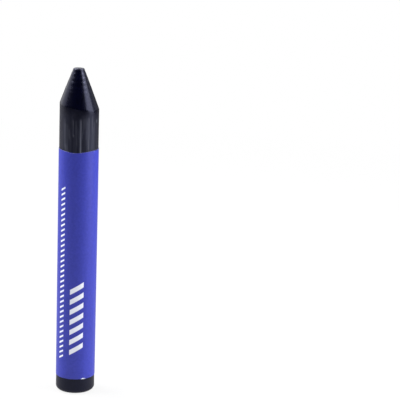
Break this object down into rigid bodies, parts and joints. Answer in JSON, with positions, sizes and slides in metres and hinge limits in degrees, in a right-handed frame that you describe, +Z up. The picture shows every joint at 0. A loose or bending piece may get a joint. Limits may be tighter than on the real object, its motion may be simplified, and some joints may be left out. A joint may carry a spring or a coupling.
{
  "type": "wax marking crayon",
  "caption": "Round wax marking crayon with a turned conical point, in a pasted paper wrapper that leaves the wax bare at both ends.",
  "frame": {"origin": "centre of the butt face, where the stick's axis meets the surface it stands on", "axes": "+Z up the stick's axis to the point, -Y the front, +Y the side with the wrapper's lapped seam"},
  "size_m": [0.0128, 0.0129, 0.1065],
  "materials": {
    "wax": "satin",
    "printed_paper": "satin",
    "paste": "satin"
  },
  "bodies": {
    "root": {"wax_stick": "wax", "paper_wrapper": "printed_paper", "paste_coat": "paste"}
  },
  "joints": []
}
